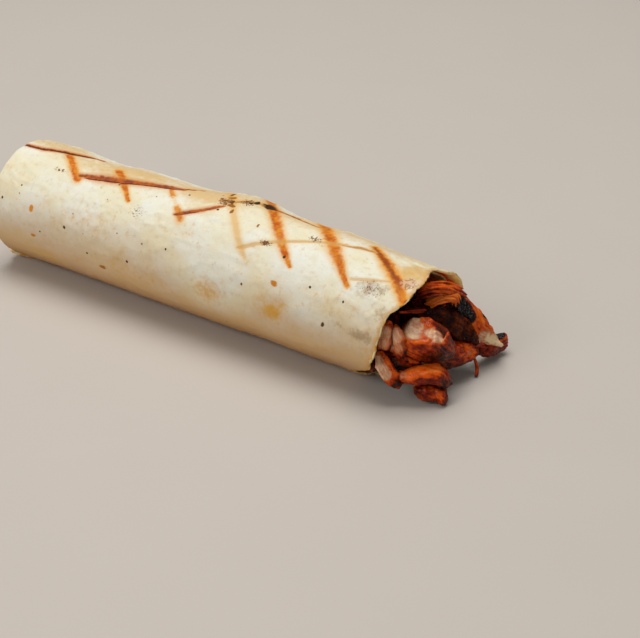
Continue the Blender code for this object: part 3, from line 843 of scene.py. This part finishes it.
MEATS = (
    Meat(
        "chicken_chunk_middle", "chicken_pale",
        [(212, -12, 32.5), (215.5, -11.5, 29.5), (219, -6, 25), (222, 1, 18)],
        tone=0.45, crags=0.22, fibre_width=2,
        pale_spots=[
            (211.5, -12, 33, 4.2, 1), (212.5, -8.5, 33.5, 3.4, 1), (215.5, -13.2, 31.8, 3.6, 1),
            (216, -9.8, 33, 2.2, 0.85), (221.8, -9.6, 31.6, 2.6, 1), (224.2, -8.9, 30.2, 3.1, 1),
        ],
        tone_spots=[
            (216, -17, 27.5, 6, 0.95), (219, -10.5, 32.2, 2.4, 0.7), (221.5, -13, 26.5, 4.5, 0.65),
            (225.5, -11, 25, 3.5, 0.5), (224.8, -2.5, 30.5, 4.5, -0.1), (227.8, -1, 27, 5, 0),
            (226, -8, 20.5, 5, 0.2),
        ],
        tears=[((227, -7, 27), (227.2, -5.6, 32.2), 1.7)],
    ),
    Meat(
        "chicken_strip_low", "chicken_orange",
        [(212.5, -18.5, 13), (217, -17.2, 13.5), (221, -13.5, 14), (225.5, -9.5, 13), (227.5, -7, 8.5)],
        tone=0.6,
        pale_spots=[(215, -19.8, 15, 2.4, 0.45)],
        tone_spots=[
            (219, -16.5, 16.8, 6, 0.9), (224, -13, 17, 6, 0.8), (229, -9, 11, 4.5, 0.15),
            (221, -17, 11.5, 4, 0.3),
        ],
    ),
    Meat(
        "chicken_strip_left", "chicken_pale",
        [(204.5, -22.5, 24), (207.5, -22, 17.5), (211, -21.5, 13), (213, -19.5, 9.5)],
        tone=0.6, voxel=0.3,
        pale_spots=[(205, -24, 19.5, 3, 1), (207.5, -24, 17, 3, 1), (209.8, -24, 15, 2.4, 1)],
        tone_spots=[(213.5, -21.5, 11.5, 3, 0.05)],
    ),
    Meat(
        "chicken_piece_bottom", "chicken_orange",
        [(218, -13.5, 5.5), (222.5, -12, 4.8), (227, -10, 3.8), (229.5, -12, 2.8)],
        char=0.12, voxel=0.34,
        tone_spots=[(229, -13.5, 4, 3, 0.6)],
    ),
    Meat(
        "chicken_chunk_right", "chicken_orange",
        [(219, 3.5, 13), (223.5, 12, 11), (228, 18.5, 9.5)],
        tone=0.35, crags=0.4,
        pale_spots=[(228.5, 13, 12.8, 1.5, 0.4)],
        tone_spots=[(223, 9, 18.5, 5, 0.2), (228.3, 13, 12.5, 3.6, 0.9), (226.5, 6, 11, 4, 0.6)],
    ),
    Meat(
        "chicken_strip_charred", "chicken_charred",
        [(219, 14, 35), (221.5, 18.5, 29), (224, 21, 23.5), (227, 22, 18), (230, 26.5, 12.5), (233, 32, 7)],
        tone=0.6, char=0, crags=0.4, voxel=0.3,
        pale_spots=[(229.8, 21.8, 15.6, 3.4, 1), (231.3, 25.4, 12.2, 3.6, 1), (233, 30, 8.4, 4.2, 1)],
        char_spots=[(221.3, 13, 34.5, 4.5, 1), (222.6, 15, 30, 4.2, 1), (224, 16.5, 26, 3.8, 1)],
        tone_spots=[(225.3, 19.5, 27, 4.5, 1.1), (227, 20, 22.5, 4.5, 1), (232, 27, 10.5, 9, 1.5)],
    ),
    Meat(
        "chicken_strand_upper", "chicken_orange",
        [(206, 3, 38.5), (212, 4, 41.8), (215.5, 9, 41), (218, 14.5, 38), (219.5, 19, 34), (220.5, 22, 31)],
        tone=0.7, voxel=0.2, rounds=3, fibres=0.12, fibre_width=0.6, crags=0.12,
        tone_spots=[(211, 2, 41, 4.5, 0.1), (220, 12, 39, 7, 0.95)],
        cords=[
            (-2.5, 0.5, 0.62, 0, 0.78), (-1.3, 1.4, 0.66, 0.04, 0.93), (0, 1.7, 0.68, 0, 1),
            (1.3, 1.3, 0.62, 0.06, 0.9), (2.5, 0.6, 0.6, 0.02, 0.8), (-2, -0.8, 0.9, 0, 0.86),
            (-0.6, 0, 0.9, 0, 0.95), (0.9, -0.1, 0.9, 0, 0.95), (1.9, -1, 0.8, 0, 0.85),
        ],
    ),
    # Its tone is set high, brighter than the shade of the upper strands would leave it: painted light
    Meat(
        "chicken_strand_inner", "chicken_orange",
        [
            (210.5, 4, 34), (212.5, 4.8, 35.2), (214.8, 6.6, 36.8), (217.6, 10, 37.2),
            (219.8, 13, 35.8), (220.6, 13.4, 32.4),
        ],
        tone=1.4, voxel=0.2, rounds=3, fibres=0.1, fibre_width=0.6, crags=0.1,
        cords=[
            (-1.8, 0.4, 0.58, 0, 0.97), (-0.6, 1, 0.62, 0.02, 1), (0.6, 0.9, 0.6, 0, 0.95),
            (1.7, 0.3, 0.55, 0.06, 0.88), (-1.1, -0.5, 0.8, 0, 0.96), (0.6, -0.4, 0.8, 0, 0.93),
        ],
    ),
    Meat(
        "chicken_strand_thin", "chicken_orange",
        [(207, -10, 36.5), (210, -5, 35.2), (213.3, 4, 32.4), (216, 11, 32)],
        tone=0.45, char=0.05, voxel=0.22, rounds=4, fibres=0.2, crags=0.1,
    ),
    Meat(
        "chicken_slice_rim", "chicken_pale",
        [(206, -19.5, 36.5), (206.5, -21, 31.5), (207, -22, 26.5)],
        tone=0.4, char=-0.05, voxel=0.3, fibres=0.45, crags=0.5,
        pale_spots=[(207, -22.6, 33.5, 3.6, 0.95), (207.2, -22.6, 29.5, 3.2, 0.75)],
    ),
    Meat(
        "chicken_slice_left", "chicken_pale",
        [(208, -17, 33), (210.5, -18, 28.5), (212.5, -17.5, 23)],
        tone=0.35, char=-0.05, voxel=0.3, fibres=0.45, crags=0.5,
        pale_spots=[(210.8, -20, 32, 4, 0.85), (212, -20.6, 27.5, 3.6, 0.55)],
    ),
    Meat(
        "chicken_nub_charred", "chicken_charred",
        [(226, 24, 7), (228.5, 32, 5.5), (230, 39.5, 5.5)],
        tone=0.25, char=0.05, crags=0.5, voxel=0.34,
        char_spots=[(229, 36.5, 9.8, 2.9, 1)],
        tone_spots=[(232, 37, 5.5, 4.5, 0.7)],
    ),
    # A dark piece where the mouth lies in deep shadow: burnt, with its tone set very low, as painted shade
    Meat(
        "chicken_piece_dark", "chicken_charred",
        [(206, 1, 30), (212.5, 8.5, 27.5), (219, 16, 21.5), (224.5, 21.5, 13)],
        tone=-0.9, char=0.25, crags=0.8, voxel=0.44, wet=False,
        char_spots=[(214, 3, 32, 5, 0.6), (218.5, 9, 28, 4, 0.65)],
        tone_spots=[(224.5, 16.5, 25, 4, 0.1)],
    ),
    Meat(
        "chicken_bit_left", "chicken_orange",
        [(208.5, -14, 17.5), (213, -12.5, 18), (217, -10.5, 16)],
        char=0.15, voxel=0.32,
    ),
    Meat(
        "chicken_bit_corner", "chicken_orange",
        [(194, -15, 13), (199, -18.5, 14), (202.5, -19.5, 14)],
        tone=0.15, char=0.3, voxel=0.34,
    ),
    Meat(
        "chicken_shred", "chicken_orange",
        [(227, 18.5, 6.5), (229.5, 16.8, 3.6), (230.5, 14.5, 0.9)],
        char=0.05, voxel=0.22, rounds=3, fibres=0.12, crags=0.1,
        tone_spots=[(229.5, 16.8, 3.6, 3, 0.5)],
    ),
    # The core inside the roll is dark char, partly painted shade for the dark hollow of the mouth
    Meat(
        "filling_core", "chicken_charred",
        [(10, 0, 26), (100, 0, 26), (205, 0, 26)],
        tone=0, char=0.5, crags=0.6, voxel=0.8, wet=False,
    ),
)


def spine_points(spine, count=60):
    """Points along a smooth curve through the spine, and how far along it each lies."""
    given = [from_end(place) for place in spine]
    last = len(given) - 1
    found = []
    for k in range(count):
        t = k / (count - 1) * last
        i = min(int(t), last - 1)
        u = t - i
        before = given[max(i - 1, 0)]
        after = given[min(i + 2, last)]
        a, b = given[i], given[i + 1]
        bend = (2 * before - 5 * a + 4 * b - after) * u * u + (3 * a - before - 3 * b + after) * u**3
        found.append(0.5 * (2 * a + (b - before) * u + bend))
    found = np.array(found)
    steps = np.linalg.norm(np.diff(found, axis=0), axis=1)
    return found, np.concatenate([[0], np.cumsum(steps)])


def headings(path):
    """The direction in which a path runs at each of its points."""
    way = np.gradient(path, axis=0)
    return way / np.linalg.norm(way, axis=1, keepdims=True)


def lie_axes(way):
    """The directions across and above the fibres, where they run this way."""
    side = np.cross(np.array(FACING), way)
    side /= np.maximum(np.linalg.norm(side, axis=-1, keepdims=True), 1e-6)
    return side, np.cross(way, side)


def add_tube(bm, path, widths):
    """A closed tube along a path, in mm."""
    side, above = lie_axes(headings(path))
    before = None
    for point, s, a, width in zip(path, side, above, widths):
        ring = []
        for k in range(TUBE_SIDES):
            turn = 2 * math.pi * k / TUBE_SIDES
            ring.append(bm.verts.new(Vector(point + width * (s * math.cos(turn) + a * math.sin(turn))) * MM))
        if before is None:
            bm.faces.new(ring[::-1])
        else:
            for k in range(TUBE_SIDES):
                bm.faces.new((before[k - 1], before[k], ring[k], ring[k - 1]))
        before = ring
    bm.faces.new(before)


def add_cords(bm, meat, shift):
    """The strands of a piece, side by side along its spine, each thinning out at its ends."""
    spine, along = spine_points(meat.spine)
    side, above = lie_axes(headings(spine))
    share = along / along[-1]
    for k, (across, up, width, start, end) in enumerate(meat.cords):
        kept = (share >= start) & (share <= end)
        path, widths = [], []
        for i in np.flatnonzero(kept):
            place = Vector((along[i] / 4.5, k * 3.7, shift))
            sway = 0.45 * noise.noise(place)
            lift = 0.35 * noise.noise(place + Vector((0, 0, 9)))
            t = (share[i] - start) / (end - start)
            narrowed = min(1.0, 0.35 + 5 * min(t, 1 - t))
            path.append(spine[i] + side[i] * (across + sway) + above[i] * (up + lift))
            widths.append(width * narrowed * (1 + 0.3 * noise.noise(place + Vector((0, 0, 20)))))
        add_tube(bm, np.array(path), widths)


def add_tears(bm, meat):
    """The small torn tips of a piece, each bent a little."""
    for foot, tip, width in meat.tears:
        foot, tip = from_end(foot), from_end(tip)
        path, widths = [], []
        sag = Vector(FACING) * 0.12 * (tip - foot).length
        for i in range(TEAR_ROWS + 1):
            t = i / TEAR_ROWS
            path.append(np.array(foot.lerp(tip, t) + sag * math.sin(math.pi * t)))
            widths.append(width * (1 - 0.8 * t))
        add_tube(bm, np.array(path), widths)


def remeshed(meat, shift):
    """The even, fine mesh of a piece, and its points in mm."""
    bm = bmesh.new()
    if meat.cords:
        add_cords(bm, meat, shift)
    else:
        bm.from_mesh(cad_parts[meat.node].data)
    add_tears(bm, meat)
    mesh = bpy.data.meshes.new(meat.node)
    bm.to_mesh(mesh)
    bm.free()
    source = add_object("source", mesh)
    skin = source.modifiers.new("skin", "REMESH")
    skin.mode = "VOXEL"
    skin.voxel_size = meat.voxel * MM
    graph = bpy.context.evaluated_depsgraph_get()
    mesh = bpy.data.meshes.new_from_object(source.evaluated_get(graph))
    bpy.data.objects.remove(source)
    points = np.zeros(len(mesh.vertices) * 3, np.float32)
    mesh.vertices.foreach_get("co", points)
    return mesh, points.reshape(-1, 3).astype(float) / MM


def edge_list(mesh):
    edges = np.zeros(len(mesh.edges) * 2, np.int32)
    mesh.edges.foreach_get("vertices", edges)
    return edges.reshape(-1, 2)


def evened(points, edges, rounds):
    """The points smoothed along the mesh, with no loss of bulk."""
    count = np.bincount(edges.ravel(), minlength=len(points))[:, None]
    for _ in range(rounds):
        for share in SMOOTHING:
            total = np.zeros_like(points)
            for axis in range(3):
                total[:, axis] = np.bincount(edges[:, 0], points[edges[:, 1], axis], len(points))
                total[:, axis] += np.bincount(edges[:, 1], points[edges[:, 0], axis], len(points))
            points = points + share * (total / count - points)
    return points


def vertex_normals(mesh, points):
    mesh.vertices.foreach_set("co", (points * MM).astype(np.float32).ravel())
    mesh.update()
    normals = np.zeros(len(points) * 3, np.float32)
    mesh.vertex_normals.foreach_get("vector", normals)
    return normals.reshape(-1, 3).astype(float)


def fibre_lie(meat, points):
    """Each point's place along, across and above the fibres of its piece, in mm."""
    spine, along = spine_points(meat.spine)
    nearest = np.zeros(len(points), int)
    for start in range(0, len(points), NEAREST_BATCH):
        some = points[start : start + NEAREST_BATCH]
        nearest[start : start + NEAREST_BATCH] = ((some[:, None] - spine[None]) ** 2).sum(2).argmin(1)
    way = headings(spine)[nearest]
    offset = points - spine[nearest]
    side, above = lie_axes(way)
    length = along[nearest] + (offset * way).sum(1)
    return np.stack([length, (offset * side).sum(1), (offset * above).sum(1)], axis=1)


def bundles(lie, width):
    """The rounded bundles of muscle fibre, from -1 in the creases between them to 1 along their middles."""
    wander = 0.5 * noise.noise(Vector((lie[0] / 7, 0, 0)) + Vector(lie) / 9)
    wide = noise.noise(Vector((lie[0] / 16, lie[1] / width / 2 + wander, lie[2] / width / 2)))
    narrow = noise.noise(Vector((lie[0] / 9, lie[1] / width + 7 + wander, lie[2] / width)))
    return 1.5 * (min(1, abs(wide) * 2.4) + 1.6 * min(1, abs(narrow) * 2.6)) / 2.6 - 0.8


def meat_spots(meat, place, crag):
    """How far a place of the piece is a pale cut face or charred, and the tone of its skin."""

    def inside(middle, size):
        return smooth((place - middle).length + 0.7 * crag, 1.4 * size, 0.5 * size)

    cut = max((amount * inside(middle, size) for middle, size, amount in meat.pale_spots), default=0.0)
    burnt = max((amount * inside(middle, size) for middle, size, amount in meat.char_spots), default=0.0)
    tone = meat.tone
    for middle, size, amount in meat.tone_spots:
        tone += (amount - tone) * inside(middle, size)
    return cut, burnt, tone


def make_meat(meat, material, seed):
    """A piece of chicken with fibres along its spine, crags, and what its material needs to know."""
    mesh, points = remeshed(meat, seed)
    points = evened(points, edge_list(mesh), meat.rounds)
    normals = vertex_normals(mesh, points)
    lies = fibre_lie(meat, points)
    shift = Vector((seed * 7.3, seed * 3.1, 0))
    out = np.zeros(len(points))
    looks = np.zeros((len(points), 3))
    folds = np.zeros((len(points), 3))
    for i, (place, lie) in enumerate(zip(points, lies + np.array(shift))):
        p = Vector(place)
        strand = bundles(lie, meat.fibre_width)
        crag = noise.noise(p / 3.4 + shift) + 0.5 * noise.noise(p / 1.6 + shift)
        lump = noise.noise(p / 6.5 + shift)
        rough = noise.noise(p / 0.8 + shift)
        cut, burnt, tone = meat_spots(meat, p, crag)
        # Painted light and shade: brighter skin where the surface faces the lit side, darker where it turns
        # away
        tone += LIT_SHARE * (Vector(normals[i]).dot(LIT_SIDE) - LIT_LEVEL)
        spread = noise.noise(p / 4.5 + shift * 2) + 0.4 * crag
        burnt = max(burnt, smooth(spread, 0.66 - meat.char, 0.9 - meat.char))
        burnt *= 1 - 0.9 * cut
        out[i] = meat.fibres * strand * (1 - 0.65 * cut) + meat.crags * (crag + lump) * (1 - 0.6 * cut)
        out[i] += 0.28 * rough * burnt - 0.2 * cut
        looks[i] = (cut, burnt, tone)
        folds[i, :2] = (strand, crag)
    points = points + normals * out[:, None]
    points[:, 2] = np.maximum(points[:, 2], 0.0)
    mesh.vertices.foreach_set("co", (points * MM).astype(np.float32).ravel())
    mesh.update()
    mesh.shade_smooth()
    mesh.materials.clear()
    mesh.materials.append(material)
    store(mesh, "meat", looks)
    store(mesh, "fibre", lies)
    store(mesh, "folds", folds)
    piece = add_object(meat.node + "_grilled", mesh)
    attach(piece, "root")
    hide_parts(meat.node)


# The colours of the seasoned skin, of the cut faces and of the char. The brightest skin colour and the pale
# flakes on the char are partly painted highlights
SKIN_DEEP = srgb(34, 3, 1)
SKIN_RED = srgb(140, 26, 2)
SKIN_ORANGE = srgb(228, 92, 10)
SKIN_BRIGHT_AND_HIGHLIGHT = srgb(248, 146, 60)
CUT_CREASE = srgb(196, 144, 110)
CUT_PALE = srgb(238, 200, 162)
CUT_STAINED = srgb(190, 104, 52)
CUT_CREAM = srgb(255, 226, 180)
CUT_EDGE = srgb(192, 86, 24)
CHAR_BROWN = srgb(50, 14, 6)
CHAR_BLACK = srgb(5, 4, 4)
CHAR_SOFT = srgb(22, 13, 10)
ASH_AND_GLINT = srgb(120, 114, 114)


def paint_skin(look, tone, streak, cloud, grain):
    """The seasoned skin, from deep red-brown through orange-red to bright orange, with painted shade in its
    creases and hollows, and a brightest step that is partly a painted highlight.
    """
    strand, crag, _ = look.stored("folds")
    swing = look.plus(look.centred(streak, 0.9), look.centred(cloud, 1.4))
    swing = look.plus(swing, look.centred(grain, 0.5))
    # Partly painted shade, partly gathered sauce: the skin is darker in the creases between fibre bundles
    # and in the hollows of the crags
    folded = look.plus(look.times(strand, 0.35), look.times(crag, 0.15))
    level = look.plus(tone, look.plus(swing, folded))
    look.colour = look.mix(look.step(level, -0.2, 0.55), SKIN_DEEP, SKIN_RED)
    look.paint(SKIN_ORANGE, look.step(level, 0.4, 1.05))
    # The brightest orange is partly a painted highlight
    look.paint(SKIN_BRIGHT_AND_HIGHLIGHT, look.step(level, 0.95, 1.6), 0.7)


def paint_cut_faces(look, cut, tone, streak, cloud):
    """Cut faces, creamy where they are clean and stained orange-brown towards their edges and in patches,
    and creamier where the tone, with its painted light, is high.
    """
    edge = look.plus(cut, look.plus(look.centred(cloud, 0.6), look.centred(streak, 0.5)))
    plain = look.mix(look.step(streak, 0.3, 0.66), CUT_CREASE, CUT_PALE)
    plain = look.mix(look.times(look.step(cloud, 0.48, 0.68), 0.75), plain, CUT_STAINED)
    # Creamier where the tone is high, which the painted light on the skin also raises
    plain = look.mix(look.step(tone, 1.0, 1.35), plain, CUT_CREAM)
    look.paint(CUT_EDGE, look.step(edge, -0.15, 0.6))
    look.paint(plain, look.step(edge, 0.15, 1.1))


def paint_burns(look, burnt, grain):
    """Char, dark brown where it thins out, with pale flakes that are partly ash and partly painted glints.
    """
    burn = look.plus(burnt, look.centred(grain, 0.6))
    look.paint(CHAR_BROWN, look.step(burn, 0.1, 0.5))
    look.paint(look.mix(grain, CHAR_BLACK, CHAR_SOFT), look.step(burn, 0.45, 0.8))
    flakes = look.step(look.noise(0.7, 2, 0.6), 0.56, 0.64)
    look.paint(ASH_AND_GLINT, look.times(flakes, look.step(burn, 0.6, 0.9)), 0.7)


def chicken_look(name, wet):
    """Grilled, seasoned chicken: orange-red skin, pale cut faces with fibres, and black char."""
    look = Look(name)
    cut, burnt, tone = look.stored("meat")
    along, across, above = look.stored("fibre")
    lie = look.vector(look.math("DIVIDE", along, 9.0), across, above)
    streak = look.noise(1.1, 3, 0.6, 0.4, lie)
    thread = look.noise(0.42, 2, 0.5, 0.3, lie)
    cloud = look.noise(2.8, 4, 0.6)
    grain = look.noise(0.7, 3)
    paint_skin(look, tone, streak, cloud, grain)
    paint_cut_faces(look, cut, tone, streak, cloud)
    paint_burns(look, burnt, grain)
    look.set("Base Color", look.colour)
    look.set("Roughness", look.between(grain, 0.25, 0.6))
    look.set("Subsurface Weight", 0.3)
    look.set("Subsurface Radius", (0.003, 0.001, 0.0005))
    look.set("Subsurface Scale", 0.4)
    look.set("Specular IOR Level", 0.08)
    if wet:
        look.set("Coat Weight", 0.35)
        look.set("Coat IOR", 1.33)
        look.set("Coat Roughness", 0.09)
    height = look.plus(look.times(thread, 0.5), look.times(grain, look.between(burnt, 0.8, 2.0)))
    look.set("Normal", look.bump(height, 0.8, 0.5))
    return look.material


# The camera stands where the photograph was taken from
CAMERA_PLACE = (0.40437, -0.53515, 0.40942)
CAMERA_WAY = (-0.46463, 0.71165, -0.52696)
CAMERA_LENS = 99.8
SENSOR = 36
NEAREST_SEEN = 0.01

# The lights, which aim at the part: name, place, size, energy and colour
LIGHTS = (
    ("window", (-0.1, 0.15, 1.3), 0.9, 13.2, (1.0, 0.985, 0.965)),
    ("front", (-0.35, -1.2, 0.9), 0.6, 6.5, (1.0, 0.97, 0.93)),
)
SKY_COLOUR = (1.0, 0.97, 0.94, 1)
SKY_STRENGTH = 0.22

FLOOR_SIDE = 2.0
FLOOR_DARK = (0.55, 0.50, 0.45, 1)
FLOOR_LIGHT = (0.57, 0.52, 0.47, 1)


def make_camera():
    data = bpy.data.cameras.new("camera")
    data.lens = CAMERA_LENS
    data.sensor_width = SENSOR
    data.clip_start = NEAREST_SEEN
    camera = add_object("camera", data)
    camera.location = CAMERA_PLACE
    camera.rotation_euler = Vector(CAMERA_WAY).to_track_quat("-Z", "Y").to_euler()
    bpy.context.scene.camera = camera


def add_light(name, place, size, energy, colour):
    data = bpy.data.lights.new(name, "AREA")
    data.size = size
    data.energy = energy
    data.color = colour
    light = add_object(name, data)
    light.location = place
    light.rotation_euler = (-Vector(place)).to_track_quat("-Z", "Y").to_euler()


def make_light():
    """A large soft light above and a little behind, a weak one from the front, and an even, dim sky."""
    for light in LIGHTS:
        add_light(*light)
    world = bpy.data.worlds.new("sky")
    world.use_nodes = True
    sky = world.node_tree.nodes["Background"]
    sky.inputs["Color"].default_value = SKY_COLOUR
    sky.inputs["Strength"].default_value = SKY_STRENGTH
    bpy.context.scene.world = world
    bpy.context.scene.view_settings.view_transform = "Standard"


def make_floor():
    look = Look("floor")
    look.set("Base Color", look.mix(look.noise(60, 3), FLOOR_DARK, FLOOR_LIGHT))
    look.set("Roughness", 0.7)
    corners = [(x * FLOOR_SIDE, y * FLOOR_SIDE, 0) for x, y in ((-1, -1), (1, -1), (1, 1), (-1, 1))]
    floor = add_mesh("floor", corners, [(0, 1, 2, 3)], [look.material])


def main():
    make_camera()
    make_light()
    make_floor()
    make_flatbread((bread_look(), bread_inside_look(), bread_edge_look()))
    wet = chicken_look("grilled_chicken", True)
    # The matte material of the dark piece and the core, whose darkness is partly painted shade
    dry = chicken_look("burnt_and_shaded_chicken", False)
    for seed, meat in enumerate(MEATS):
        make_meat(meat, wet if meat.wet else dry, seed)


main()
